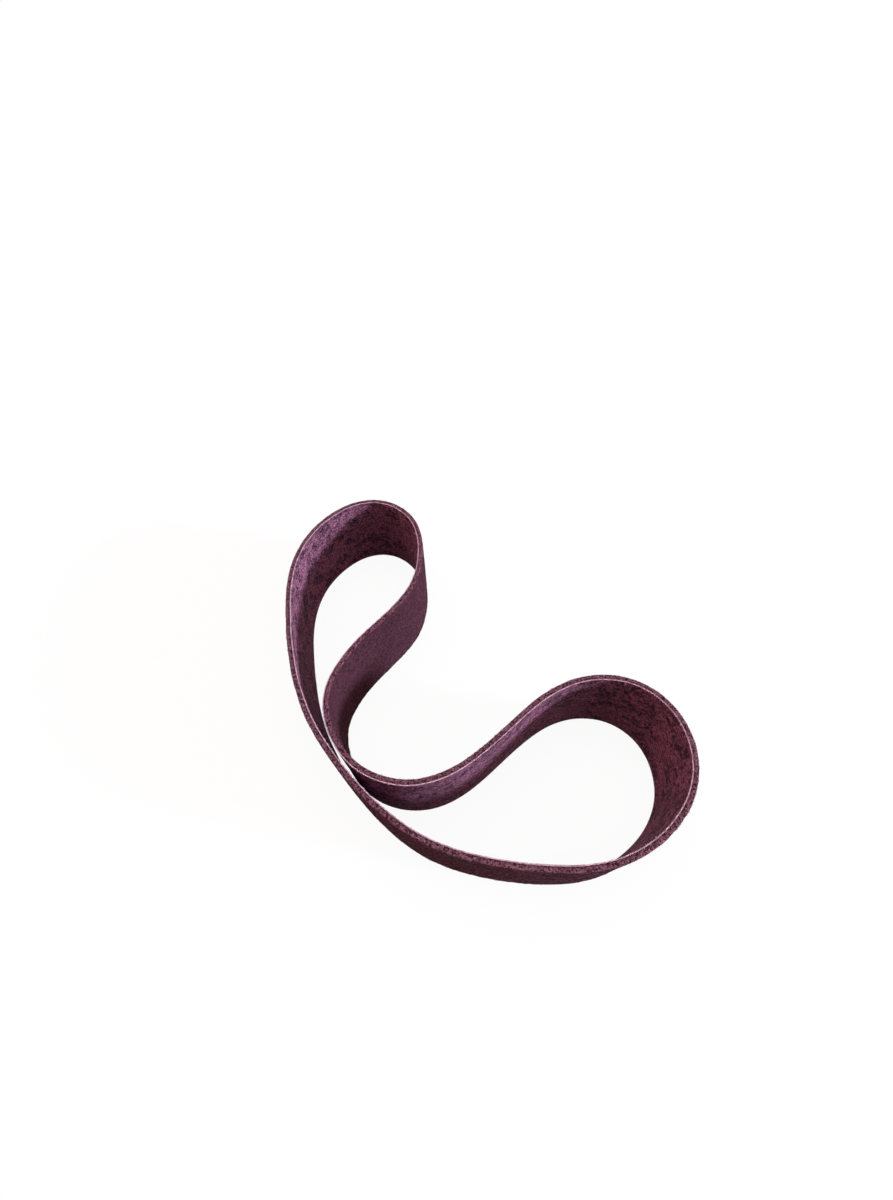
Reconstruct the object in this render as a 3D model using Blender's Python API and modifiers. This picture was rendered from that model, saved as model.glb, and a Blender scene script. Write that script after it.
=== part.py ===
"""An endless surface-conditioning sanding belt, standing on its edge in a folded loop.

The belt is a laminate. A thick nonwoven abrasive web is on the outside, and a thin woven
backing scrim is on the inside. The strip's two ends meet at a skewed splice, which shows as a
fine groove across the web and is held by a film tape across the backing.

Metres, +Z up. The origin is under the middle of the loop's box, on the surface it stands on.
"""

import math

import bpy
import bmesh
import numpy as np

# The belt's own sizes: a 2 inch by 30 inch belt
BELT_LENGTH = 0.762        # once round the loop, along the inner face of the backing
BELT_WIDTH = 0.0508        # from edge to edge, which is the loop's height here
SCRIM_THICKNESS = 0.0004
WEB_THICKNESS = 0.0021
LAYER_GAP = 0.0003         # clearance between layers that are bonded to each other
WEB_EDGE_ROUND = 0.0004

# The splice
SPLICE_PLACE = 0.455       # how far along the loop it lies, as a share of the length
SPLICE_ANGLE = math.radians(62.0)   # between the joint and the belt's edge
GROOVE_WIDTH = 0.0008      # of the joint's V section, at the web's face
GROOVE_DEPTH = 0.0006
GROOVE_OVERRUN = 0.005     # how far its cutter passes the belt's edges
TAPE_WIDTH = 0.019         # measured along the belt
TAPE_THICKNESS = 0.00015
TAPE_EDGE_INSET = 0.0006   # from the belt's edges to the tape's ends

# How the loop lies, seen from above: places that steer a smooth curve along the inner face of the
# backing, in order. They set the loop's proportions, and BELT_LENGTH sets its size.
LOOP_PLACES = (
    (-0.014, 0.082),     # neck of the far lobe
    (-0.035, 0.132),     # far lobe, head
    (-0.072, 0.117),     # far lobe, shoulder
    (-0.079, 0.041),     # left flank
    (-0.031, -0.042),    # corner, where the dip comes close
    (0.024, -0.067),     # front run
    (0.092, -0.056),     # right lobe, front shoulder
    (0.110, -0.014),     # right lobe, head
    (0.085, 0.010),      # right lobe, back shoulder
    (-0.023, -0.039),    # dip, front side
    (-0.058, -0.001),    # dip, deepest place
    (-0.054, 0.017),     # dip, back side
)
BEND_EASE = 0.017          # length over which stiff cloth evens out a change of bend
EASE_PASSES = 3

# How finely the shapes are divided
CURVE_STEPS = 32           # points of the guide curve from one place to the next
FINE_STATIONS = 880        # points once round the loop while its bends are evened out
LOOP_STATIONS = 220        # facets once round the finished loop
GROOVE_SECTIONS = 17
TAPE_COLUMNS = 8
TAPE_ROWS = 10
EDGE_SEGMENTS = 2
RIM_ANGLE = math.radians(60.0)   # edges that turn more than this are a band's cut edges

# Colours of the belt's materials
WEB_COLOUR = (0.115, 0.036, 0.055, 1.0)
SCRIM_COLOUR = (0.230, 0.105, 0.145, 1.0)
TAPE_COLOUR = (0.420, 0.330, 0.240, 1.0)


def clear_scene():
    """Removes what the scene holds already."""
    for thing in list(bpy.data.objects):
        bpy.data.objects.remove(thing, do_unlink=True)


def new_collection(name):
    collection = bpy.data.collections.new(name)
    bpy.context.scene.collection.children.link(collection)
    return collection


def new_material(name, colour, roughness):
    """A plain Principled BSDF material."""
    material = bpy.data.materials.new(name)
    material.use_nodes = True
    shader = material.node_tree.nodes["Principled BSDF"]
    shader.inputs["Base Color"].default_value = colour
    shader.inputs["Roughness"].default_value = roughness
    shader.inputs["Metallic"].default_value = 0.0
    material.diffuse_color = colour
    return material


def web_material():
    return new_material("abrasive_web", WEB_COLOUR, 0.95)


def scrim_material():
    return new_material("backing_scrim", SCRIM_COLOUR, 0.85)


def tape_material():
    return new_material("splice_tape", TAPE_COLOUR, 0.35)


def drawn_loop():
    """The points of a smooth closed curve through LOOP_PLACES, anticlockwise."""
    curve = bpy.data.curves.new("loop_guide", "CURVE")
    curve.dimensions = "2D"
    curve.resolution_u = CURVE_STEPS
    spline = curve.splines.new("BEZIER")
    spline.bezier_points.add(len(LOOP_PLACES) - 1)
    for point, (x, y) in zip(spline.bezier_points, LOOP_PLACES):
        point.co = (x, y, 0.0)
        point.handle_left_type = "AUTO"
        point.handle_right_type = "AUTO"
    spline.use_cyclic_u = True
    guide = bpy.data.objects.new("loop_guide", curve)
    bpy.context.scene.collection.objects.link(guide)
    bpy.context.view_layer.update()
    mesh = bpy.data.meshes.new_from_object(guide.evaluated_get(bpy.context.evaluated_depsgraph_get()))
    points = np.array([vertex.co[:2] for vertex in mesh.vertices])
    bpy.data.objects.remove(guide, do_unlink=True)
    bpy.data.meshes.remove(mesh)
    return points


def loop_length(points):
    return np.linalg.norm(np.roll(points, -1, axis=0) - points, axis=1).sum()


def evenly_spaced(points, count):
    """The same closed loop, as count points at equal distances along it."""
    closed = np.vstack([points, points[:1]])
    travelled = np.concatenate([[0.0], np.cumsum(np.linalg.norm(np.diff(closed, axis=0), axis=1))])
    wanted = np.linspace(0.0, travelled[-1], count, endpoint=False)
    return np.stack([np.interp(wanted, travelled, closed[:, axis]) for axis in (0, 1)], axis=1)


def eased(points, reach):
    """Evens out the bends by averaging each point with its neighbours within reach."""
    steps = max(1, round(reach / (loop_length(points) / len(points)) / 2))
    return sum(np.roll(points, step, axis=0) for step in range(-steps, steps + 1)) / (2 * steps + 1)


def outward_normals(points):
    """Unit vectors that point away from the loop's inside, in plan."""
    along = np.roll(points, -1, axis=0) - np.roll(points, 1, axis=0)
    along /= np.linalg.norm(along, axis=1)[:, None]
    return np.stack([along[:, 1], -along[:, 0]], axis=1)


def offset_loop(points, distance):
    return points + outward_normals(points) * distance


def backing_loop():
    """The inner face of the backing in plan, at the belt's length and centred over the origin."""
    points = evenly_spaced(drawn_loop(), FINE_STATIONS)
    for _ in range(EASE_PASSES):
        points = eased(points, BEND_EASE)
    points = evenly_spaced(points, LOOP_STATIONS)
    points *= BELT_LENGTH / loop_length(points)
    outer = offset_loop(points, SCRIM_THICKNESS + LAYER_GAP + WEB_THICKNESS)
    return points - (outer.min(axis=0) + outer.max(axis=0)) / 2


def on_belt(loop, travel, height, offset):
    """The point at a distance along the loop and a height, offset outward from the backing's face."""
    step = travel / (loop_length(loop) / len(loop))
    first = math.floor(step)
    share = step - first
    normals = outward_normals(loop)
    before, after = first % len(loop), (first + 1) % len(loop)
    place = loop[before] * (1 - share) + loop[after] * share
    normal = normals[before] * (1 - share) + normals[after] * share
    normal /= np.linalg.norm(normal)
    x, y = place + normal * offset
    return (x, y, height)


def splice_travel(height):
    """How far along the loop the skewed joint lies at a height."""
    return SPLICE_PLACE * BELT_LENGTH + (height - BELT_WIDTH / 2) / math.tan(SPLICE_ANGLE)


def mesh_object(name, builder, collection, material=None):
    """A named object of what the bmesh holds."""
    mesh = bpy.data.meshes.new(name)
    builder.to_mesh(mesh)
    builder.free()
    thing = bpy.data.objects.new(name, mesh)
    collection.objects.link(thing)
    if material:
        mesh.materials.append(material)
    return thing


def add_solidify(thing, thickness):
    """Gives an open surface its thickness, on the side that its faces look to."""
    solid = thing.modifiers.new("thickness", "SOLIDIFY")
    solid.thickness = thickness
    solid.offset = 1.0
    solid.use_even_offset = True
    solid.use_rim = True


def add_rim_bevel(thing, width):
    """Rounds the cut edges of a band."""
    bevel = thing.modifiers.new("cut_edges", "BEVEL")
    bevel.width = width
    bevel.segments = EDGE_SEGMENTS
    bevel.limit_method = "ANGLE"
    bevel.angle_limit = RIM_ANGLE


def add_cut(thing, cutter):
    """Cuts the cutter's shape out of a solid."""
    cut = thing.modifiers.new(cutter.name, "BOOLEAN")
    cut.operation = "DIFFERENCE"
    cut.solver = "EXACT"
    cut.object = cutter


def add_band(name, face_loop, thickness, material, collection):
    """An endless band: a loop's edge raised by the belt's width, and thickened outward."""
    builder = bmesh.new()
    lower = [builder.verts.new((x, y, 0.0)) for x, y in face_loop]
    edges = [builder.edges.new((lower[i - 1], lower[i])) for i in range(len(lower))]
    raised = bmesh.ops.extrude_edge_only(builder, edges=edges)["geom"]
    upper = [part for part in raised if isinstance(part, bmesh.types.BMVert)]
    bmesh.ops.translate(builder, verts=upper, vec=(0.0, 0.0, BELT_WIDTH))
    turn_outward(builder, face_loop)
    for face in builder.faces:
        face.smooth = True
    band = mesh_object(name, builder, collection, material)
    add_solidify(band, thickness)
    return band


def turn_outward(builder, face_loop):
    """Turns an upright band's faces to look away from the loop's inside."""
    builder.normal_update()
    face = next(iter(builder.faces))
    centre = face.calc_center_median()
    nearest = int(np.argmin(np.hypot(face_loop[:, 0] - centre.x, face_loop[:, 1] - centre.y)))
    outward = outward_normals(face_loop)[nearest]
    if face.normal.x * outward[0] + face.normal.y * outward[1] < 0:
        bmesh.ops.reverse_faces(builder, faces=list(builder.faces))


def backing_scrim(loop, collection):
    return add_band("backing_scrim", loop, SCRIM_THICKNESS, scrim_material(), collection)


def abrasive_web(loop, collection, cutters):
    inner_face = offset_loop(loop, SCRIM_THICKNESS + LAYER_GAP)
    web = add_band("abrasive_web", inner_face, WEB_THICKNESS, web_material(), collection)
    add_rim_bevel(web, WEB_EDGE_ROUND)
    add_cut(web, splice_groove(loop, cutters))
    return web


def splice_groove(loop, collection):
    """A cutter with a V section that follows the skewed joint across the web's outer face."""
    web_face = SCRIM_THICKNESS + LAYER_GAP + WEB_THICKNESS
    builder = bmesh.new()
    sections = []
    for height in np.linspace(-GROOVE_OVERRUN, BELT_WIDTH + GROOVE_OVERRUN, GROOVE_SECTIONS):
        travel = splice_travel(height)
        corners = (
            (travel, web_face - GROOVE_DEPTH),
            (travel + GROOVE_WIDTH, web_face + GROOVE_DEPTH),
            (travel - GROOVE_WIDTH, web_face + GROOVE_DEPTH),
        )
        sections.append([builder.verts.new(on_belt(loop, s, height, out)) for s, out in corners])
    for lower, upper in zip(sections, sections[1:]):
        for i in range(3):
            builder.faces.new((lower[i - 1], lower[i], upper[i], upper[i - 1]))
    builder.faces.new(sections[0])
    builder.faces.new(sections[-1])
    bmesh.ops.recalc_face_normals(builder, faces=list(builder.faces))
    groove = mesh_object("splice_groove", builder, collection)
    groove.hide_render = True
    groove.display_type = "WIRE"
    return groove


def splice_tape(loop, collection):
    """The film across the backing's inner face that holds the strip's two ends together."""
    builder = bmesh.new()
    rows = []
    for height in np.linspace(TAPE_EDGE_INSET, BELT_WIDTH - TAPE_EDGE_INSET, TAPE_ROWS + 1):
        middle = splice_travel(height)
        spread = np.linspace(middle - TAPE_WIDTH / 2, middle + TAPE_WIDTH / 2, TAPE_COLUMNS + 1)
        rows.append([builder.verts.new(on_belt(loop, travel, height, -LAYER_GAP)) for travel in spread])
    for lower, upper in zip(rows, rows[1:]):
        for i in range(TAPE_COLUMNS):
            face = builder.faces.new((lower[i], upper[i], upper[i + 1], lower[i + 1]))
            face.smooth = True
    tape = mesh_object("splice_tape", builder, collection, tape_material())
    add_solidify(tape, TAPE_THICKNESS)
    return tape


def main():
    clear_scene()
    belt = new_collection("sanding_belt")
    cutters = new_collection("cutters")
    loop = backing_loop()
    backing_scrim(loop, belt)
    abrasive_web(loop, belt, cutters)
    splice_tape(loop, belt)


main()
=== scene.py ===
"""A surface-conditioning sanding belt that stands on its edge in a folded loop.

The belt's CAD model is the frame. Finer pieces are modelled on it: the nonwoven abrasive web with
its skewed splice, the woven scrim cloth behind it, the film over the joint, and the loose fibres
of the faces and of the cut edges. Run it as a script; the panel stands in the 3D view's sidebar.

Metres, +Z up. Belt places are given as travel (along the loop), height and depth (outward from
the inner face of the cloth).
"""

import functools
import math

import bmesh
import bpy
import numpy as np
from bpy.props import FloatProperty, FloatVectorProperty, IntProperty, PointerProperty
from mathutils import Matrix, Vector
from mathutils.kdtree import KDTree


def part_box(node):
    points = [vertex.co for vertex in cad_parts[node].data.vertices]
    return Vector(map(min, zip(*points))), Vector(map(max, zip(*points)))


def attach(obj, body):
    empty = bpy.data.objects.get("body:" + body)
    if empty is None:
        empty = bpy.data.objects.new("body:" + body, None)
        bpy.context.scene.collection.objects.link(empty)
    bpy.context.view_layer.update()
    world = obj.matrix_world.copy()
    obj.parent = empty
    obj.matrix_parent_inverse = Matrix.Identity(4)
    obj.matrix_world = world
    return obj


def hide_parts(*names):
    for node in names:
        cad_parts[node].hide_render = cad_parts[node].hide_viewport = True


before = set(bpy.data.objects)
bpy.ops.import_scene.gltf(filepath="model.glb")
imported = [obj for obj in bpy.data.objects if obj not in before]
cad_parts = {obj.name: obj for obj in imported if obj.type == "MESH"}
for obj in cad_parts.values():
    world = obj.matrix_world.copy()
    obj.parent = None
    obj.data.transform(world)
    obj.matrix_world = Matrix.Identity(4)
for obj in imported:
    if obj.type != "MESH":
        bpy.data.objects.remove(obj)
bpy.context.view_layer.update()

bl_info = {
    "name": "Folded sanding belt",
    "version": (1, 0, 0),
    "blender": (4, 5, 0),
    "location": "View3D > Sidebar > Sanding belt",
    "description": "Models a surface-conditioning belt on its CAD frame, with cloth, web and fibres",
    "category": "Object",
}

BODY = "root"
BELT_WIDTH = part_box("abrasive_web")[1].z

# The layers, as depths from the inner face of the cloth
CLOTH_THICKNESS = 0.00062
WEB_INNER_FACE = 0.00070
WEB_OUTER_FACE = 0.00280
WEB_EDGE_ROUND = 0.00035

# The splice
SPLICE_ANGLE = math.radians(62.0)   # between the joint and the belt's edge
SPLICE_REACH = 0.040                # nothing of the joint is further than this from its middle
GROOVE_HALF_WIDTH = 0.0004
GROOVE_REACH = 0.002                # from the groove to the middles of the faces that it cuts
GROOVE_FLOOR = 0.0019               # under the outer face, past which nothing is cut
FILM_SHIFT = 0.00024                # outward, from the film's CAD place onto the cloth

# How the pieces are divided
MERGE = 0.00001
SMOOTHING_LEVELS = 2        # each doubles the stations round the loop
WEB_CUTS = (15, 4)          # cuts of each row of the seen wall, and across each rim
CLOTH_CUTS = (7, 2)
FILM_CUTS = 2
EDGE_SEGMENTS = 2
LEVEL = 0.7                 # a face whose normal's z is past this lies level
UPRIGHT = 0.9               # an edge with more than this share of its length in height is upright
CROSSWISE = 0.7             # one with less than this share of it along the loop leads across

# Relief: how wide its waves are, and how high they stand or what share of the relief they have
LUMP_SIZE = 0.0034
MATTING_SIZE, MATTING_SHARE = 0.0013, 0.8
FRAY_SIZE, FRAY_HEIGHT = 0.0011, 0.00022
COCKLE_SIZE, COCKLE_HEIGHT = 0.006, 0.00005

# The strip's gentle unevenness: a direction, the size of its waves and its share of the amount
RIPPLES = (("X", 0.021, 1.0), ("Y", 0.025, 1.0), ("Z", 0.029, 0.6))

# Sides of a band
INNER, OUTER, TOP, BOTTOM = range(4)
HIDDEN_SHIFT = 0.060        # keeps the hidden face's pattern away from the seen one's

# The cut edges: their height, and which way leads out of the belt
RIMS = {"top": (BELT_WIDTH, 1.0), "bottom": (0.0, -1.0)}

# How thick a strand is at each of its knots
RIM_TAPER = (1.0, 1.0, 0.9, 0.6)
FACE_TAPER = (0.8, 1.0, 1.0, 1.0, 0.8)
CURL_CHANGE = 0.6           # share of a strand's curl by which it changes at each knot


class BeltSizes(bpy.types.PropertyGroup):
    relief: FloatProperty(
        name="Web relief", description="How far the web's lumps stand in or out",
        default=0.00022, min=0.0, max=0.001, subtype="DISTANCE", unit="LENGTH")
    ripple: FloatProperty(
        name="Belt ripple", description="Gentle unevenness of the whole strip",
        default=0.00045, min=0.0, max=0.002, subtype="DISTANCE", unit="LENGTH")
    groove_depth: FloatProperty(
        name="Groove depth", description="Depth of the splice's groove in the web",
        default=0.0006, min=0.0, max=0.0015, subtype="DISTANCE", unit="LENGTH")
    strand_radius: FloatProperty(
        name="Strand radius", description="Half the thickness of a nylon strand of the web",
        default=0.000045, min=0.00002, max=0.0001, subtype="DISTANCE", unit="LENGTH")
    yarn_radius: FloatProperty(
        name="Yarn end radius", description="Half the thickness of a frayed yarn end of the cloth",
        default=0.000062, min=0.00002, max=0.0001, subtype="DISTANCE", unit="LENGTH")
    weave_pitch: FloatProperty(
        name="Weave pitch", description="Distance between the cloth's yarns",
        default=0.00062, min=0.0003, max=0.002, subtype="DISTANCE", unit="LENGTH")
    seed: IntProperty(
        name="Seed", description="Starts the random draws that lay the strands", default=27, min=0)


class BeltColours(bpy.types.PropertyGroup):
    web: FloatVectorProperty(
        name="Web", description="Resin-coated nylon strands of the abrasive web",
        default=(0.090, 0.0215, 0.036), size=3, min=0.0, max=1.0, subtype="COLOR")
    # Painted shade for the web's hollows and pits, its rims towards the cloth and the cloth's edge by the
    # web; also the real dark of grit on the strands and of glue
    web_shade: FloatVectorProperty(
        name="Web hollows", description="Dark hollows between the web's strands",
        default=(0.018, 0.0045, 0.008), size=3, min=0.0, max=1.0, subtype="COLOR")
    # Pale strands and mineral, also used for the painted highlight on the strands of the cut rims
    web_light: FloatVectorProperty(
        name="Web highlights", description="Worn strands and mineral on the web",
        default=(0.360, 0.165, 0.235), size=3, min=0.0, max=1.0, subtype="COLOR")
    cloth: FloatVectorProperty(
        name="Cloth", description="Resin-filled face of the backing cloth",
        default=(0.335, 0.124, 0.208), size=3, min=0.0, max=1.0, subtype="COLOR")
    cloth_mottle: FloatVectorProperty(
        name="Cloth mottling", description="Dark speckled fields on the backing cloth",
        default=(0.024, 0.008, 0.022), size=3, min=0.0, max=1.0, subtype="COLOR")
    cloth_edge: FloatVectorProperty(
        name="Cut cloth edge", description="Pale yarn ends along the cloth's cut edge",
        default=(0.96, 0.62, 0.77), size=3, min=0.0, max=1.0, subtype="COLOR")
    film: FloatVectorProperty(
        name="Splice film", description="Film that holds the joint on the back",
        default=(0.42, 0.33, 0.24), size=3, min=0.0, max=1.0, subtype="COLOR")


# Modelling helpers

def deselect_all():
    """Goes back to object mode, with nothing selected."""
    if bpy.context.object and bpy.context.object.mode != "OBJECT":
        bpy.ops.object.mode_set(mode="OBJECT")
    bpy.ops.object.select_all(action="DESELECT")


def make_active(piece):
    deselect_all()
    piece.select_set(True)
    bpy.context.view_layer.objects.active = piece


def edit(piece):
    make_active(piece)
    bpy.ops.object.mode_set(mode="EDIT")


def stop_editing():
    bpy.ops.object.mode_set(mode="OBJECT")


def select(piece, kind, test, what):
    """In edit mode, selects the faces or edges that pass the test, of which there must be some."""
    bpy.ops.mesh.select_mode(type=kind)
    bpy.ops.mesh.select_all(action="DESELECT")
    shape = bmesh.from_edit_mesh(piece.data)
    found = [item for item in (shape.faces if kind == "FACE" else shape.edges) if test(item)]
    if not found:
        raise RuntimeError(f"{piece.name} has no {what}")
    for item in found:
        item.select_set(True)
    bmesh.update_edit_mesh(piece.data)


def is_level(face):
    return abs(face.normal.z) > LEVEL


def apply_modifier(piece, kind, **settings):
    make_active(piece)
    modifier = piece.modifiers.new(kind.title(), kind)
    for name, value in settings.items():
        setattr(modifier, name, value)
    bpy.ops.object.modifier_apply(modifier=modifier.name)


def node_copy(node, name):
    """A copy of a CAD node's mesh under a new name, merged into one skin of four-sided faces."""
    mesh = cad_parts[node].data.copy()
    mesh.name = name
    mesh.materials.clear()
    piece = bpy.data.objects.new(name, mesh)
    bpy.context.scene.collection.objects.link(piece)
    edit(piece)
    bpy.ops.mesh.customdata_custom_splitnormals_clear()
    bpy.ops.mesh.select_all(action="SELECT")
    bpy.ops.mesh.remove_doubles(threshold=MERGE)
    bpy.ops.mesh.tris_convert_to_quads()
    stop_editing()
    return piece


def dress(piece, shader, slot, *nodes):
    """Gives a finished piece its material, its body and the nodes that it stands for. The slot is not used.
    """
    piece.data.materials.clear()
    piece.data.materials.append(shader.owner)
    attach(piece, BODY)
    if nodes:
        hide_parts(*nodes)


# The belt's own coordinates

def inner_wall(piece):
    """Leaves only the wall that faces into the loop, a ribbon one face high."""
    edit(piece)
    shape = bmesh.from_edit_mesh(piece.data)
    walls = {face for face in shape.faces if not is_level(face)}
    islands = []
    while walls:
        island, front = set(), [walls.pop()]
        while front:
            face = front.pop()
            island.add(face)
            for line in face.edges:
                for other in line.link_faces:
                    if other in walls:
                        walls.discard(other)
                        front.append(other)
        islands.append(island)
    keep = {face.index for face in min(islands, key=lambda faces: sum(f.calc_area() for f in faces))}
    select(piece, "FACE", lambda face: face.index not in keep, "faces besides the inner wall")
    bpy.ops.mesh.delete(type="FACE")
    stop_editing()


def ring_of(ribbon):
    """The ribbon's lower edge as an ordered array of places, anticlockwise from above."""
    shape = bmesh.new()
    shape.from_mesh(ribbon.data)
    start = max((v for v in shape.verts if v.co.z < MERGE), key=lambda v: v.co.y)
    order, last, here = [], None, start
    while not order or here != start:
        order.append(here)
        nearby = [line.other_vert(here) for line in here.link_edges if line.is_boundary]
        last, here = here, next(v for v in nearby if v != last)
    ring = np.array([v.co[:2] for v in order])
    shape.free()
    x, y = ring.T
    area = float(np.sum(x * np.roll(y, -1) - y * np.roll(x, -1)))
    return ring if area > 0 else ring[::-1].copy()


class Belt:
    """The line that the inner face follows. Travel is measured along it from its furthest place."""

    def __init__(self, ring):
        self.ring = ring
        steps = np.linalg.norm(np.roll(ring, -1, axis=0) - ring, axis=1)
        self.travel = np.concatenate([[0.0], np.cumsum(steps)])
        self.length = float(self.travel[-1])
        along = np.roll(ring, -1, axis=0) - np.roll(ring, 1, axis=0)
        along /= np.linalg.norm(along, axis=1)[:, None]
        self.along = along
        self.outward = np.stack([along[:, 1], -along[:, 0]], axis=1)
        self.tree = KDTree(len(ring))
        for index, (x, y) in enumerate(ring):
            self.tree.insert((x, y, 0.0), index)
        self.tree.balance()
        low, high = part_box("splice_tape")
        middle = self.station((low + high) / 2)
        self.splice = float(self.travel[middle])
        self.splice_centre = Vector((*ring[middle], BELT_WIDTH / 2))
        self.splice_out = Vector((*self.outward[middle], 0.0))
        joint = Vector((*along[middle], 0.0)) * math.cos(SPLICE_ANGLE)
        joint += Vector((0.0, 0.0, math.sin(SPLICE_ANGLE)))
        self.across_splice = self.splice_out.cross(joint).normalized()

    def station(self, place):
        """The number of the ring's place that is nearest."""
        return self.tree.find((place[0], place[1], 0.0))[1]

    def side(self, face):
        """Which side of a band a face is on."""
        if is_level(face):
            return TOP if face.normal.z > 0 else BOTTOM
        outward = self.outward[self.station(face.calc_center_median())]
        return OUTER if face.normal.x * outward[0] + face.normal.y * outward[1] > 0 else INNER

    def places(self, travel, height, depth):
        """Places in space for arrays of travel, height and depth."""
        travel = np.mod(travel, self.length)
        columns = []
        for values in (self.ring[:, 0], self.ring[:, 1], self.outward[:, 0], self.outward[:, 1]):
            columns.append(np.interp(travel, self.travel, np.append(values, values[0])))
        x, y, out_x, out_y = columns
        return np.stack([x + out_x * depth, y + out_y * depth, height], axis=-1)

    def unwrap(self, piece, seen, face_depth):
        """Lays out the piece's map in metres: travel, and height that runs on over the cut edges."""
        layer = piece.data.uv_layers.new(name="belt")
        shape = bmesh.new()
        shape.from_mesh(piece.data)
        uv = shape.loops.layers.uv[layer.name]
        for face in shape.faces:
            side = self.side(face)
            stations = [self.station(loop.vert.co) for loop in face.loops]
            travels = [self.travel[station] for station in stations]
            wraps = max(travels) - min(travels) > self.length / 2
            for loop, station, travel in zip(face.loops, stations, travels):
                place = loop.vert.co
                if side in (INNER, OUTER):
                    height = place.z + (0.0 if side == seen else HIDDEN_SHIFT)
                else:
                    depth = (Vector(place[:2]) - Vector(self.ring[station])).length
                    past = abs(depth - face_depth)
                    height = BELT_WIDTH + past if side == TOP else -past
                if wraps and travel < self.length / 2:
                    travel += self.length
                loop[uv].uv = (travel, height)
        shape.to_mesh(piece.data)
        shape.free()

    def part_at_splice(self, piece):
        """Breaks the map at the splice, where the strip's two ends meet."""
        shape = bmesh.new()
        shape.from_mesh(piece.data)
        uv = shape.loops.layers.uv["belt"]
        for face in shape.faces:
            travel = sum(loop[uv].uv.x for loop in face.loops) / len(face.loops)
            if abs(travel - self.splice) < SPLICE_REACH:
                away = face.calc_center_median() - self.splice_centre
                before = away.dot(self.across_splice) < 0
            else:
                before = travel < self.splice
            if before:
                for loop in face.loops:
                    loop[uv].uv.x += self.length
        shape.to_mesh(piece.data)
        shape.free()


def ribbon_of_cloth(name):
    """The inner face of the loop as a smooth ribbon."""
    ribbon = node_copy("backing_scrim", name)
    inner_wall(ribbon)
    apply_modifier(ribbon, "SUBSURF", levels=SMOOTHING_LEVELS, render_levels=SMOOTHING_LEVELS)
    return ribbon


@functools.cache
def loop_line():
    """The loop's line, measured once from the CAD cloth."""
    ribbon = ribbon_of_cloth("loop_guide")
    belt = Belt(ring_of(ribbon))
    bpy.data.objects.remove(ribbon, do_unlink=True)
    return belt


def band_from(ribbon, belt, start, end, seen):
    """Makes a band between two depths out of a ribbon, and gives it its map."""
    edit(ribbon)
    bpy.ops.mesh.select_all(action="SELECT")
    if start:
        bpy.ops.transform.shrink_fatten(value=-start)
    stop_editing()
    apply_modifier(ribbon, "SOLIDIFY", thickness=end - start, offset=-1.0, use_even_offset=True)
    belt.unwrap(ribbon, seen, start if seen == INNER else end)


def divide_band(band, belt, seen, wall_cuts, rim_cuts):
    """Divides the band's seen wall into a fine grid, and its rims into rows."""
    edit(band)
    sides = {face.index: belt.side(face) for face in bmesh.from_edit_mesh(band.data).faces}

    def up_the_wall(line):
        a, b = (vert.co for vert in line.verts)
        return (abs(a.z - b.z) > UPRIGHT * (a - b).length
                and all(sides[face.index] == seen for face in line.link_faces))

    def across_a_rim(line):
        if not all(is_level(face) for face in line.link_faces):
            return False
        a, b = (vert.co for vert in line.verts)
        along = Vector(belt.along[belt.station(a)])
        return abs(along.dot((a - b).to_2d().normalized())) < CROSSWISE

    select(band, "EDGE", up_the_wall, "upright edges on its seen wall")
    bpy.ops.mesh.subdivide(number_cuts=wall_cuts)
    select(band, "EDGE", across_a_rim, "edges across its rims")
    bpy.ops.mesh.subdivide(number_cuts=rim_cuts)
    stop_editing()


def round_edges(band, belt, seen, width, segments):
    """Bevels the two long edges between the seen wall and the rims."""
    def between(line):
        rims = [face for face in line.link_faces if is_level(face)]
        walls = [face for face in line.link_faces if not is_level(face)]
        return len(rims) == len(walls) == 1 and belt.side(walls[0]) == seen

    edit(band)
    select(band, "EDGE", between, "long edges on its seen wall")
    bpy.ops.mesh.bevel(offset=width, segments=segments, profile=0.5, affect="EDGES")
    stop_editing()


def clouds(name, size, depth=1):
    pattern = bpy.data.textures.new(name, "CLOUDS")
    pattern.noise_scale = size
    pattern.noise_depth = depth
    return pattern


def roughen(piece, pattern, strength, group="", direction="NORMAL"):
    apply_modifier(piece, "DISPLACE", texture=pattern, texture_coords="LOCAL", direction=direction,
                   strength=strength, mid_level=0.5, vertex_group=group)


def ripple(piece, amount):
    """The same gentle unevenness for every layer, because it depends on the place alone."""
    for direction, size, share in RIPPLES:
        roughen(piece, clouds(f"ripple_{direction.lower()}", size), amount * share, direction=direction)


def finish_surface(piece, angle=55.0):
    make_active(piece)
    bpy.ops.object.shade_smooth_by_angle(angle=math.radians(angle))


# Strands

def wander(rng, start, heading, length, curl, knots):
    """Belt places of strands that start at a place, go off along a heading and curl on their way."""
    count = len(start)
    points = np.empty((count, knots, 3))
    points[:, 0] = start
    heading = heading / np.linalg.norm(heading, axis=1)[:, None]
    turn = rng.normal(size=(count, 3)) * curl
    for knot in range(1, knots):
        heading = heading + turn + rng.normal(size=(count, 3)) * curl * CURL_CHANGE
        heading /= np.linalg.norm(heading, axis=1)[:, None]
        points[:, knot] = points[:, knot - 1] + heading * (length / (knots - 1))[:, None]
    return points


def outline_of_strand(radius):
    """The three-cornered outline that a strand is swept with."""
    curve = bpy.data.curves.new("strand_outline", "CURVE")
    spline = curve.splines.new("POLY")
    spline.points.add(2)
    for corner, point in enumerate(spline.points):
        angle = -2.0 * math.pi * corner / 3.0
        point.co = (radius * math.cos(angle), radius * math.sin(angle), 0.0, 1.0)
    spline.use_cyclic_u = True
    outline = bpy.data.objects.new("strand_outline", curve)
    bpy.context.scene.collection.objects.link(outline)
    return outline


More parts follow.
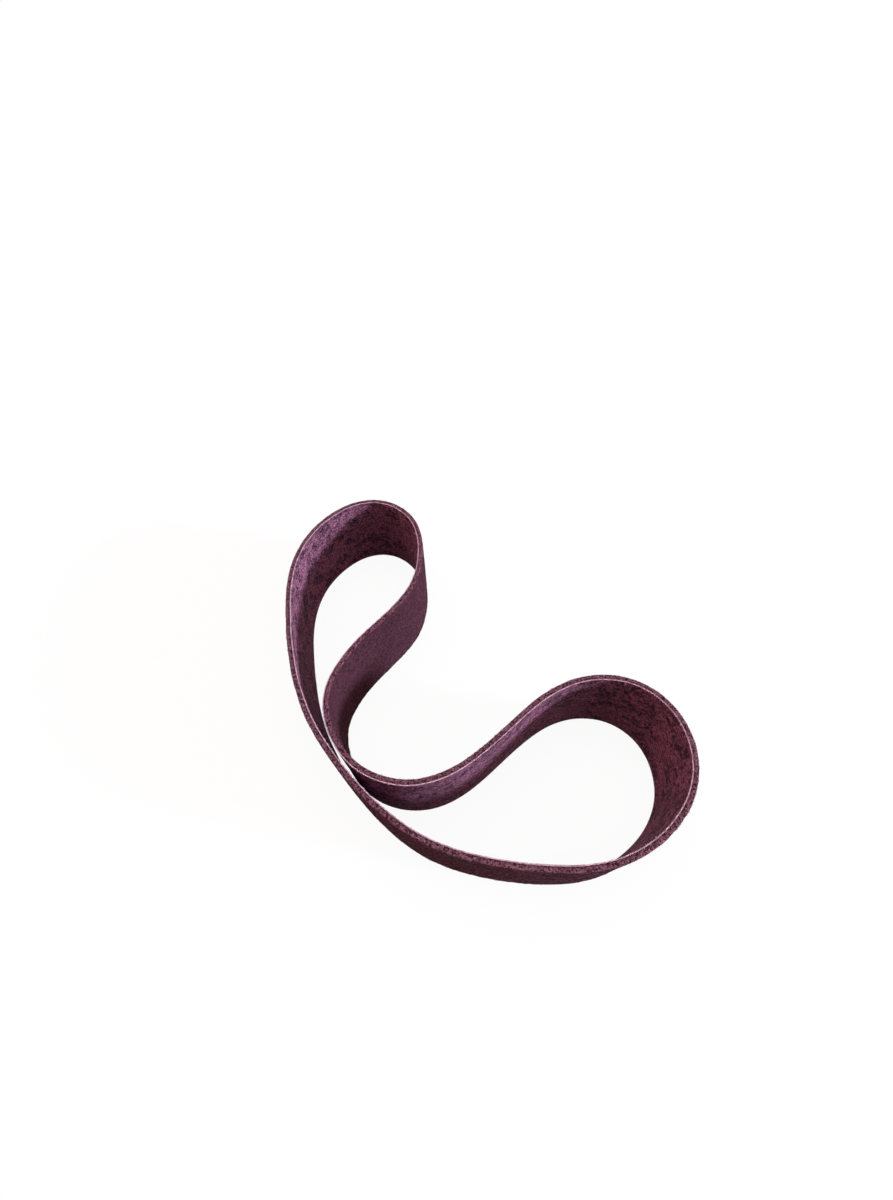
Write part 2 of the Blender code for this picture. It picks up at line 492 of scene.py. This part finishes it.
def strands(name, belt, places, radius, taper):
    """Strands as one mesh: a curve with a spline for each, swept and turned into a mesh."""
    count, knots, _ = places.shape
    spots = belt.places(*places.reshape(-1, 3).T).reshape(count, knots, 3)
    outline = outline_of_strand(radius)
    curve = bpy.data.curves.new(name, "CURVE")
    curve.dimensions = "3D"
    curve.bevel_mode = "OBJECT"
    curve.bevel_object = outline
    curve.use_fill_caps = True
    for spot in spots:
        spline = curve.splines.new("POLY")
        spline.points.add(knots - 1)
        spline.points.foreach_set("co", np.append(spot, np.ones((knots, 1)), axis=1).ravel())
        spline.points.foreach_set("radius", taper)
    piece = bpy.data.objects.new(name, curve)
    bpy.context.scene.collection.objects.link(piece)
    make_active(piece)
    bpy.ops.object.convert(target="MESH")
    piece = bpy.context.object
    piece.data.name = name
    bpy.data.objects.remove(outline, do_unlink=True)
    edit(piece)
    bpy.ops.mesh.select_all(action="SELECT")
    bpy.ops.mesh.normals_make_consistent(inside=False)
    stop_editing()
    bpy.ops.object.shade_smooth()
    return piece


def rim_places(rng, belt, count, height, depths):
    """Belt places along a rim, at one height and anywhere between two depths."""
    return np.stack([rng.uniform(0.0, belt.length, count), np.full(count, height),
                     rng.uniform(*depths, count)], axis=1)


def fringe(name, belt, places, radius):
    """Strands that stand out of a rim. What would go below height 0 is mirrored up."""
    places[:, :, 1] = np.abs(places[:, :, 1])
    return strands(name, belt, places, radius, RIM_TAPER)


# Shader maths

class Wire:
    """A socket that takes part in sums: each operator adds a Math node."""

    def __init__(self, shader, socket):
        self.shader, self.socket = shader, socket

    def _maths(self, operation, *values):
        return self.shader.node("ShaderNodeMath", {"operation": operation}, *values)

    def __add__(self, other):
        return self._maths("ADD", self, other)

    def __sub__(self, other):
        return self._maths("SUBTRACT", self, other)

    def __rsub__(self, other):
        return self._maths("SUBTRACT", other, self)

    def __mul__(self, other):
        return self._maths("MULTIPLY", self, other)

    def __truediv__(self, other):
        return self._maths("DIVIDE", self, other)

    def __mod__(self, other):
        return self._maths("FLOORED_MODULO", self, other)

    def __abs__(self):
        return self._maths("ABSOLUTE", self)

    __radd__ = __add__
    __rmul__ = __mul__

    def larger(self, other):
        return self._maths("MAXIMUM", self, other)

    def sine(self):
        return self._maths("SINE", self)

    def floor(self):
        return self._maths("FLOOR", self)

    def step(self, low, high):
        """0 below low, 1 above high and a soft rise between."""
        return self.shader.node("ShaderNodeMapRange", {"interpolation_type": "SMOOTHSTEP"},
                                Value=self, From_Min=low, From_Max=high)

    def lines(self, low, high):
        """1 along the winding lines where a noise passes its middle value, 0 away from them."""
        return 1.0 - abs(self - 0.5).step(low, high)


class Shader:
    """The nodes of a material or of the world, which one method adds."""

    def __init__(self, owner, kind="Material"):
        self.owner = owner
        owner.use_nodes = True
        self.tree = owner.node_tree
        self.tree.nodes.clear()
        self.end = self.tree.nodes.new(f"ShaderNodeOutput{kind}")

    def node(self, kind, settings=None, *values, output=0, **named):
        """Adds a node, sets it up, feeds its inputs, and gives the output that is asked for."""
        made = self.tree.nodes.new(kind)
        for name, value in (settings or {}).items():
            setattr(made, name, value)
        for socket, value in [*zip(made.inputs, values),
                              *((self._socket(made.inputs, name), value) for name, value in named.items())]:
            if isinstance(value, Wire):
                self.tree.links.new(value.socket, socket)
            else:
                socket.default_value = value
        return Wire(self, self._socket(made.outputs, output))

    @staticmethod
    def _socket(sockets, wanted):
        """The socket with a number, or the one in use with a name."""
        if isinstance(wanted, int):
            return sockets[wanted]
        name = wanted.replace("_", " ").lower()
        return next(socket for socket in sockets if socket.enabled and socket.name.lower() == name)

    def split(self, place):
        """The three coordinates of a place."""
        parts = self.node("ShaderNodeSeparateXYZ", None, place).socket.node
        return [Wire(self, output) for output in parts.outputs]

    def mix(self, amount, first, second):
        """Mixes two colours."""
        first, second = (value if isinstance(value, Wire) else (*value, 1.0) for value in (first, second))
        return self.node("ShaderNodeMix", {"data_type": "RGBA"}, output="Result",
                         Factor=amount, A=first, B=second)

    def place(self, stretch=(1.0, 1.0, 1.0), turn=0.0, source="Object"):
        """Object places, or those of a map, stretched for a pattern and turned about Z."""
        if source == "Object":
            start = self.node("ShaderNodeTexCoord", output="Object")
        else:
            start = self.node("ShaderNodeUVMap", {"uv_map": source})
        return self.node("ShaderNodeMapping", Vector=start, Scale=stretch, Rotation=(0.0, 0.0, turn))

    def noise(self, place, scale, detail=2.0, roughness=0.5, distortion=0.0):
        """A noise with about as many lumps to the metre as its scale."""
        return self.node("ShaderNodeTexNoise", Vector=place, Scale=scale, Detail=detail,
                         Roughness=roughness, Distortion=distortion)

    def seen_directly(self):
        """1 for what the camera sees, also in a reflection or through something clear."""
        camera, glossy, clear = (self.node("ShaderNodeLightPath", output=name) for name in (
            "Is Camera Ray", "Is Glossy Ray", "Is Transmission Ray"))
        return camera.larger(glossy).larger(clear)

    def show(self, surface):
        self.tree.links.new(surface.socket, self.end.inputs["Surface"])

    def show_principled(self, height, distance, **named):
        """A Principled surface, with a bump from the height."""
        bump = self.node("ShaderNodeBump", Strength=1.0, Distance=distance, Height=height)
        self.show(self.node("ShaderNodeBsdfPrincipled", Normal=bump, **named))


def toned(colour, strength):
    """A lighter or darker tone of a colour."""
    return tuple(min(1.0, strength * value) for value in colour)


def past_edge(height):
    """How far past the seen wall's edges a height of the belt's map is. It is positive on a rim."""
    return (height - BELT_WIDTH).larger(0.0 - height)


def web_shader(colours):
    """Matted nylon strands under dark maroon resin, with mineral specks, painted shade in the hollows and
    pits, and pale strands on the rims that are partly a painted highlight.
    """
    shader = Shader(bpy.data.materials.new("nonwoven_web"))
    place = shader.place()
    coarse, middling, fine = (
        shader.noise(place, scale, detail, 0.55, 0.6).lines(0.0, width)
        for scale, detail, width in ((520.0, 2.0, 0.055), (780.0, 1.5, 0.07), (1150.0, 1.0, 0.09)))
    matting = coarse.larger(middling * 0.85).larger(fine * 0.85)
    hollows = shader.noise(place, 620.0, 3.0, 0.65).step(0.42, 0.57)
    fields = shader.noise(place, 34.0, 3.0, 0.55).step(0.35, 0.68)
    grit = shader.noise(place, 3300.0, 1.0, 0.5).step(0.66, 0.74)
    pits = 1.0 - shader.noise(place, 980.0, 2.0, 0.6).step(0.40, 0.50)
    past = past_edge(shader.split(shader.place(source="belt"))[1])
    rim = past.step(-0.0003, 0.0001)
    # All over: resin over strands, with hollows darkened by painted shade, and broad fields
    body = shader.mix(0.18 + hollows * 0.82, colours.web_shade, colours.web)
    body = shader.mix(fields * 0.35, body, toned(colours.web, 1.25))
    body = shader.mix(matting * 0.42, body, toned(colours.web_light, 0.50))
    # Bright strands on the cut rims, paler cut strands with a painted highlight on the rims, under the grit
    # that lies all over
    body = shader.mix(matting * rim * 0.80, body, colours.web_light)
    body = shader.mix(grit * 0.45, body, toned(colours.web_light, 1.2))
    # Painted shade: the rims' open pits, and their part towards the cloth made darker
    body = shader.mix(rim * pits * 0.85, body, colours.web_shade)
    body = shader.mix(past.step(0.0009, 0.0021) * 0.40, body, colours.web_shade)
    height = matting * 1.1 + hollows * 0.6 + grit * 0.3 - rim * pits * 1.2
    shader.show_principled(height, 0.00016, Base_Color=body, Roughness=0.95 - grit * 0.35,
                           Specular_IOR_Level=0.05)
    return shader


def strand_shader(name, colours, pale):
    """Nylon strands, some dark and some paler."""
    shader = Shader(bpy.data.materials.new(name))
    place = shader.place()
    tone = shader.noise(place, 640.0, 2.0, 0.6).step(0.44, 0.58)
    grit = shader.noise(place, 5200.0, 1.0, 0.5).step(0.60, 0.70)
    body = shader.mix(tone, toned(colours.web, 0.70), toned(colours.web_light, pale))
    body = shader.mix(grit * 0.5, body, colours.web_shade)
    shader.show_principled(grit, 0.00003, Base_Color=body, Roughness=0.80 - tone * 0.25,
                           Specular_IOR_Level=0.10)
    return shader


def cloth_shader(colours, pitch):
    """Plain-woven cloth filled with resin, mottled in dark fields, pale at its cut edges."""
    shader = Shader(bpy.data.materials.new("scrim_cloth"))
    place = shader.place(source="belt")
    travel, height, _ = shader.split(place)
    dark = toned(colours.cloth, 0.16)
    # The weave: yarns go over and under by turns
    turn = math.pi / pitch
    warp = abs((height * turn).sine())
    weft = abs((travel * turn).sine())
    odd = ((travel / pitch).floor() + (height / pitch).floor()) % 2.0
    weave = warp * odd + weft * (1.0 - odd)
    # The filled face: cloudy resin with a fine dark grain, specks and short pale lint
    clouds_seen = shader.noise(place, 60.0, 4.0, 0.6).step(0.32, 0.68)
    blotch = shader.noise(place, 520.0, 3.0, 0.75, 0.4).step(0.36, 0.64)
    grain = shader.noise(place, 820.0, 3.0, 0.75).step(0.43, 0.55)
    specks = shader.noise(place, 560.0, 2.0, 0.7, 0.3).step(0.46, 0.54)
    coarse = shader.noise(place, 210.0, 3.0, 0.65, 0.5).step(0.42, 0.60)
    lint = shader.noise(shader.place((1.0, 2.2, 1.0), 0.5, "belt"), 900.0, 2.0, 0.7).step(0.56, 0.66)
    body = shader.mix(clouds_seen * 0.35 + blotch * 0.65, toned(colours.cloth, 0.32),
                      toned(colours.cloth, 1.88))
    body = shader.mix(weave * 0.20, body, toned(colours.cloth, 1.6))
    body = shader.mix((1.0 - grain) * 0.80, body, dark)
    body = shader.mix(specks * (0.20 + coarse * 0.50), body, dark)
    # The mottling: slanted fields of scrawled dark lines
    slant = shader.place((1.0, 1.35, 1.0), math.radians(24.0), "belt")
    drift = shader.noise(place, 240.0, 2.0, 0.5)
    islands = shader.node("ShaderNodeTexVoronoi", {"feature": "F1"}, Vector=slant, Scale=82.0,
                          Randomness=0.7) + (drift - 0.5) * 1.3
    fields = 1.0 - islands.step(0.34, 0.58)
    scrawl = shader.noise(place, 310.0, 1.0, 0.5, 0.5).lines(0.07, 0.11)
    body = shader.mix(fields * scrawl.larger(0.24) * (0.66 + specks * 0.34), body, colours.cloth_mottle)
    body = shader.mix(lint * 0.24, body, colours.cloth_edge)
    # The cut edge: pale and ragged, worn over onto the face, with a dark line by the web: glue, and painted
    # shade of the crevice between cloth and web
    past = past_edge(height)
    fray = shader.noise(shader.place((1.0, 0.6, 1.0), source="belt"), 2300.0, 2.0, 0.7)
    ragged = shader.noise(place, 700.0, 2.0, 0.6)
    frayed = ragged.step(0.42, 0.57)
    cut = past.step(-0.00004, 0.00004)
    worn = (past + (fray + ragged - 1.0) * 0.0016).step(-0.0005, 0.0001)
    # Glue and painted shade: a dark line on the cloth's rim next to the web
    glue_and_crevice_shade = (past + (fray + ragged - 1.0) * 0.0008).step(0.00044, 0.00054)
    pale = shader.mix(fray.step(0.30, 0.54) * (0.40 + weft * 0.60) * (0.12 + frayed * 0.88),
                      toned(colours.cloth_edge, 0.26), colours.cloth_edge)
    body = shader.mix(worn * 0.38, body, pale)
    body = shader.mix(cut, body, pale)
    body = shader.mix(glue_and_crevice_shade, body, colours.web_shade)
    shader.show_principled(weave * (1.0 - specks * 0.4) + lint * 0.5 + fray * cut, 0.00007,
                           Base_Color=body, Roughness=0.74 + specks * 0.14 + cut * 0.10,
                           Specular_IOR_Level=0.04)
    return shader


def yarn_shader(colours):
    """Frayed ends of the cloth's yarns."""
    shader = Shader(bpy.data.materials.new("yarn_ends"))
    tone = shader.noise(shader.place(), 420.0, 2.0, 0.6).step(0.34, 0.62)
    body = shader.mix(tone, toned(colours.cloth_edge, 0.35), colours.cloth_edge)
    shader.show_principled(tone, 0.00002, Base_Color=body, Roughness=0.72 + tone * 0.1)
    return shader


def film_shader(colours):
    """Satin film over the cloth, with fine slanted threads and a little adhesive haze."""
    shader = Shader(bpy.data.materials.new("splice_film"))
    place = shader.place()
    across, _, upward = shader.split(place)
    threads = abs(((across + upward * 0.53) * 2600.0).sine()).step(0.80, 0.97)
    haze = shader.noise(place, 160.0, 3.0, 0.6).step(0.35, 0.70)
    bubbles = shader.noise(place, 900.0, 1.0, 0.5).step(0.66, 0.72)
    under = shader.noise(place, 230.0, 3.0, 0.65, 0.5).step(0.42, 0.58)
    body = shader.mix(under * 0.30, colours.film, toned(colours.cloth, 0.5))
    body = shader.mix(threads * 0.30, body, toned(colours.film, 0.55))
    body = shader.mix(haze * 0.25, body, toned(colours.film, 1.5))
    shader.show_principled(threads * 0.5 + bubbles * 0.6, 0.00003, Base_Color=body,
                           Roughness=0.30 + haze * 0.22, Specular_IOR_Level=0.5)
    return shader


# One operator for each piece or group of like pieces

class BELT_OT_scrim_cloth(bpy.types.Operator):
    """Model the woven backing cloth with its cut edges"""
    bl_idname = "sanding_belt.scrim_cloth"
    bl_label = "Backing cloth"

    def execute(self, context):
        sizes, colours = context.scene.belt_sizes, context.scene.belt_colours
        belt = loop_line()
        cloth = ribbon_of_cloth("scrim_cloth")
        band_from(cloth, belt, 0.0, CLOTH_THICKNESS, INNER)
        divide_band(cloth, belt, INNER, *CLOTH_CUTS)
        belt.part_at_splice(cloth)
        roughen(cloth, clouds("cloth_fray", FRAY_SIZE, 2), FRAY_HEIGHT, direction="Z")
        ripple(cloth, sizes.ripple)
        finish_surface(cloth)
        dress(cloth, cloth_shader(colours, sizes.weave_pitch), "backing_scrim", "backing_scrim")
        return {"FINISHED"}


class BELT_OT_abrasive_web(bpy.types.Operator):
    """Model the nonwoven web with its relief, its cut edges and the splice's groove"""
    bl_idname = "sanding_belt.abrasive_web"
    bl_label = "Abrasive web"

    def execute(self, context):
        sizes, colours = context.scene.belt_sizes, context.scene.belt_colours
        belt = loop_line()
        web = ribbon_of_cloth("nonwoven_web")
        band_from(web, belt, WEB_INNER_FACE, WEB_OUTER_FACE, OUTER)
        divide_band(web, belt, OUTER, *WEB_CUTS)
        round_edges(web, belt, OUTER, WEB_EDGE_ROUND, EDGE_SEGMENTS)
        self.cut_groove(web, belt, sizes.groove_depth)
        belt.part_at_splice(web)
        self.lump(web, belt, sizes.relief)
        ripple(web, sizes.ripple)
        finish_surface(web)
        dress(web, web_shader(colours), "abrasive_web", "abrasive_web")
        return {"FINISHED"}

    @staticmethod
    def cut_groove(web, belt, depth):
        """Slices the wall along the splice's joint, and presses its middle line in."""
        across, out = belt.across_splice, belt.splice_out
        centre = belt.splice_centre + out * WEB_OUTER_FACE
        edit(web)
        for shift in (-GROOVE_HALF_WIDTH, GROOVE_HALF_WIDTH, 0.0):
            spot = centre + across * shift

            def is_crossed(face):
                middle = face.calc_center_median()
                return ((middle - centre).length < SPLICE_REACH
                        and abs((middle - spot).dot(across)) < GROOVE_REACH
                        and (middle - spot).dot(out) > -GROOVE_FLOOR)

            select(web, "FACE", is_crossed, "faces that the splice crosses")
            bpy.ops.mesh.bisect(plane_co=spot, plane_no=across)
        bpy.ops.transform.shrink_fatten(value=-depth)
        stop_editing()

    @staticmethod
    def lump(web, belt, amount):
        """Gives all but the bonded face a relief of lumps, and finer matting on it."""
        edit(web)
        select(web, "FACE", lambda face: belt.side(face) != INNER, "outer skin")
        group = web.vertex_groups.new(name="skin")
        bpy.ops.object.vertex_group_assign()
        stop_editing()
        roughen(web, clouds("web_lumps", LUMP_SIZE, 2), amount, group.name)
        roughen(web, clouds("web_matting", MATTING_SIZE, 1), amount * MATTING_SHARE, group.name)


class BELT_OT_splice_film(bpy.types.Operator):
    """Lay the splice's film on the back of the joint"""
    bl_idname = "sanding_belt.splice_film"
    bl_label = "Splice film"

    def execute(self, context):
        sizes, colours = context.scene.belt_sizes, context.scene.belt_colours
        belt = loop_line()
        film = node_copy("splice_tape", "splice_film")
        middle = sum((v.co for v in film.data.vertices), Vector()) / len(film.data.vertices)
        out = Vector((*belt.outward[belt.station(middle)], 0.0))
        edit(film)
        bpy.ops.mesh.select_all(action="SELECT")
        bpy.ops.transform.translate(value=out * FILM_SHIFT)
        bpy.ops.mesh.subdivide(number_cuts=FILM_CUTS)
        stop_editing()
        roughen(film, clouds("film_cockle", COCKLE_SIZE, 1), COCKLE_HEIGHT)
        ripple(film, sizes.ripple)
        finish_surface(film, 40.0)
        dress(film, film_shader(colours), "splice_tape", "splice_tape")
        return {"FINISHED"}


class BELT_OT_edge_fuzz(bpy.types.Operator):
    """Raise the loose nylon strands along the web's cut edges"""
    bl_idname = "sanding_belt.edge_fuzz"
    bl_label = "Edge fuzz"

    counts = {"top": 9200, "bottom": 4200}
    root = 0.0001               # how far inside the rim a strand starts
    depths = (WEB_INNER_FACE + 0.0001, WEB_OUTER_FACE - 0.0002)
    shortest, spread = 0.0005, 0.0010
    curl = 0.42
    paleness = 1.35

    def execute(self, context):
        sizes, colours = context.scene.belt_sizes, context.scene.belt_colours
        belt = loop_line()
        rng = np.random.default_rng(sizes.seed)
        shader = strand_shader("edge_fuzz", colours, self.paleness)
        for rim, count in self.counts.items():
            edge, way = RIMS[rim]
            start = rim_places(rng, belt, count, edge - way * self.root, self.depths)
            heading = np.stack([rng.normal(0.0, 1.5, count), way * rng.uniform(0.1, 0.7, count),
                                rng.normal(0.05, 0.9, count)], axis=1)
            length = self.shortest + self.spread * rng.beta(1.6, 3.4, count)
            places = wander(rng, start, heading, length, self.curl, len(RIM_TAPER))
            fuzz = fringe(f"web_fuzz_{rim}", belt, places, sizes.strand_radius)
            ripple(fuzz, sizes.ripple)
            dress(fuzz, shader, "abrasive_web")
        return {"FINISHED"}


class BELT_OT_face_strands(bpy.types.Operator):
    """Lay curled strands on the web's outer face"""
    bl_idname = "sanding_belt.face_strands"
    bl_label = "Face strands"

    pieces, count = 2, 6000             # how many pieces, and the strands of each
    lengths = (0.003, 0.008)
    lift = (-0.00008, 0.00010, 0.00016, 0.00010, -0.00008)      # of each knot, off the web's face
    curl = 0.42
    paleness = 0.48
    margin, clearance = 0.0006, 0.0003  # from the rims to where a strand starts, and to all of it

    def execute(self, context):
        sizes, colours = context.scene.belt_sizes, context.scene.belt_colours
        belt = loop_line()
        rng = np.random.default_rng(sizes.seed + 1)
        shader = strand_shader("face_strands", colours, self.paleness)
        for number in range(1, self.pieces + 1):
            start = np.stack([rng.uniform(0.0, belt.length, self.count),
                              rng.uniform(self.margin, BELT_WIDTH - self.margin, self.count),
                              np.full(self.count, WEB_OUTER_FACE)], axis=1)
            angle = rng.uniform(0.0, 2 * math.pi, self.count)
            heading = np.stack([np.cos(angle), np.sin(angle), np.zeros(self.count)], axis=1)
            length = rng.uniform(*self.lengths, self.count)
            places = wander(rng, start, heading, length, self.curl, len(FACE_TAPER))
            places[:, :, 1] = np.clip(places[:, :, 1], self.clearance, BELT_WIDTH - self.clearance)
            places[:, :, 2] = WEB_OUTER_FACE + self.lift * rng.uniform(0.5, 1.3, (self.count, 1))
            piece = strands(f"web_strands_{number}", belt, places, sizes.strand_radius, FACE_TAPER)
            ripple(piece, sizes.ripple)
            dress(piece, shader, "abrasive_web")
        return {"FINISHED"}


class BELT_OT_yarn_ends(bpy.types.Operator):
    """Fray the pale yarn ends along the cloth's cut edges"""
    bl_idname = "sanding_belt.yarn_ends"
    bl_label = "Frayed yarn ends"

    counts = {"top": 5000, "bottom": 2400}
    root = 0.0002               # how far inside the rim a yarn end starts
    depths = (0.00003, 0.00042)
    shortest, spread = 0.0003, 0.0008
    stray, extra = 0.02, 0.0014     # share of the ends that came loose, and how much longer they are
    curl = 0.3

    def execute(self, context):
        sizes, colours = context.scene.belt_sizes, context.scene.belt_colours
        belt = loop_line()
        rng = np.random.default_rng(sizes.seed + 2)
        shader = yarn_shader(colours)
        for rim, count in self.counts.items():
            edge, way = RIMS[rim]
            start = rim_places(rng, belt, count, edge - way * self.root, self.depths)
            heading = np.stack([rng.normal(0.0, 1.6, count), np.full(count, way),
                                rng.normal(0.0, 0.5, count)], axis=1)
            length = self.shortest + self.spread * rng.beta(1.5, 4.0, count)
            length[rng.random(count) < self.stray] += self.extra
            places = wander(rng, start, heading, length, self.curl, len(RIM_TAPER))
            ends = fringe(f"yarn_ends_{rim}", belt, places, sizes.yarn_radius)
            ripple(ends, sizes.ripple)
            dress(ends, shader, "backing_scrim")
        return {"FINISHED"}


class BELT_OT_stage(bpy.types.Operator):
    """Set up the pale floor, the lamps and the camera"""
    bl_idname = "sanding_belt.stage"
    bl_label = "Stage"

    floor_size, floor_height = 12.0, -0.0002
    floor_bounce = (0.26, 0.17, 0.17)       # colour of the light that the floor throws back
    floor_seen = (0.95, 0.94, 0.94)         # its colour to the camera, in which shadows fall
    floor_glow = 0.93                       # share of plain white in what the camera sees
    # Colours and strengths of the world, as light on the belt and as it is seen
    world_light = ((1.0, 0.84, 0.80), 0.13)
    world_seen = ((1.0, 1.0, 1.0), 1.0)
    # Name, azimuth, elevation and softness in degrees, strength and colour of each lamp
    lamp_rows = (("key", -11.0, 15.5, 8.0, 3.20, (0.88, 1.02, 1.16)),
                 ("side", -22.0, 38.0, 60.0, 0.66, (1.0, 0.86, 0.84)),
                 ("overhead", 90.0, 80.0, 50.0, 2.00, (1.0, 0.89, 0.88)),
                 ("fill", 184.0, 30.0, 50.0, 0.80, (1.05, 0.56, 0.47)))
    camera_place = (-0.0057, -0.1233, 0.2667)
    camera_forward = (-0.0184, 0.5680, -0.8228)
    camera_right = (0.9997, -0.0007, -0.0228)
    lens, sensor_width = 14.58, 36.0        # millimetres

    def execute(self, context):
        scene = context.scene
        scene.view_settings.view_transform = "Standard"
        self.lay_floor()
        self.light_world(scene)
        self.hang_lamps(scene)
        self.place_camera(scene)
        return {"FINISHED"}

    def lay_floor(self):
        deselect_all()
        bpy.ops.mesh.primitive_plane_add(size=self.floor_size, location=(0.0, 0.0, self.floor_height))
        floor = bpy.context.object
        floor.name = floor.data.name = "floor"
        bpy.ops.object.transform_apply(location=True, rotation=True, scale=True)
        shader = Shader(bpy.data.materials.new("pale_floor"))
        seen = shader.seen_directly()
        matt = shader.node("ShaderNodeBsdfDiffuse",
                           Color=shader.mix(seen, self.floor_bounce, self.floor_seen))
        glow = shader.node("ShaderNodeEmission", Color=(1.0, 1.0, 1.0, 1.0), Strength=1.0)
        shader.show(shader.node("ShaderNodeMixShader", None, seen * self.floor_glow, matt, glow))
        floor.data.materials.append(shader.owner)

    def light_world(self, scene):
        scene.world = scene.world or bpy.data.worlds.new("studio")
        shader = Shader(scene.world, "World")
        soft, white = (shader.node("ShaderNodeBackground", Color=(*colour, 1.0), Strength=strength)
                       for colour, strength in (self.world_light, self.world_seen))
        shader.show(shader.node("ShaderNodeMixShader", None, shader.seen_directly(), soft, white))

    def hang_lamps(self, scene):
        """A low key from the right with broad light around it, one from above and a weak fill."""
        for name, azimuth, elevation, softness, strength, colour in self.lamp_rows:
            lamp = bpy.data.lights.new(name, "SUN")
            lamp.angle = math.radians(softness)
            lamp.energy = strength
            lamp.color = colour
            thing = bpy.data.objects.new(name, lamp)
            scene.collection.objects.link(thing)
            level, rise = math.radians(azimuth), math.radians(elevation)
            away = Vector((math.cos(level) * math.cos(rise), math.sin(level) * math.cos(rise),
                           math.sin(rise)))
            thing.location = away
            thing.rotation_mode = "QUATERNION"
            thing.rotation_quaternion = away.to_track_quat("Z", "Y")

    def place_camera(self, scene):
        camera = bpy.data.cameras.new("camera")
        camera.lens = self.lens
        camera.sensor_width = self.sensor_width
        camera.clip_start = 0.01
        thing = bpy.data.objects.new("camera", camera)
        scene.collection.objects.link(thing)
        forward = Vector(self.camera_forward).normalized()
        right = Vector(self.camera_right)
        right = (right - forward * right.dot(forward)).normalized()
        turn = Matrix((right, right.cross(forward), -forward)).transposed()
        thing.matrix_world = Matrix.Translation(self.camera_place) @ turn.to_4x4()
        scene.camera = thing


class BELT_PT_panel(bpy.types.Panel):
    """Lists the belt's pieces, sizes and colours"""
    bl_idname = "BELT_PT_panel"
    bl_label = "Sanding belt"
    bl_space_type = "VIEW_3D"
    bl_region_type = "UI"
    bl_category = "Sanding belt"

    def draw(self, context):
        layout = self.layout
        for group in (context.scene.belt_sizes, context.scene.belt_colours):
            box = layout.box()
            for name in group.__annotations__:
                box.prop(group, name)
        column = layout.column(align=True)
        for operator in OPERATORS:
            column.operator(operator.bl_idname)


OPERATORS = (
    BELT_OT_stage,
    BELT_OT_scrim_cloth,
    BELT_OT_abrasive_web,
    BELT_OT_splice_film,
    BELT_OT_edge_fuzz,
    BELT_OT_face_strands,
    BELT_OT_yarn_ends,
)
GROUPS = (("belt_sizes", BeltSizes), ("belt_colours", BeltColours))


def register():
    for name, group in GROUPS:
        bpy.utils.register_class(group)
        setattr(bpy.types.Scene, name, PointerProperty(type=group))
    for item in (*OPERATORS, BELT_PT_panel):
        bpy.utils.register_class(item)


def unregister():
    for item in (BELT_PT_panel, *reversed(OPERATORS)):
        bpy.utils.unregister_class(item)
    for name, group in reversed(GROUPS):
        delattr(bpy.types.Scene, name)
        bpy.utils.unregister_class(group)


def main():
    register()
    for operator in OPERATORS:
        group, name = operator.bl_idname.split(".")
        getattr(getattr(bpy.ops, group), name)()


if __name__ == "__main__":
    main()
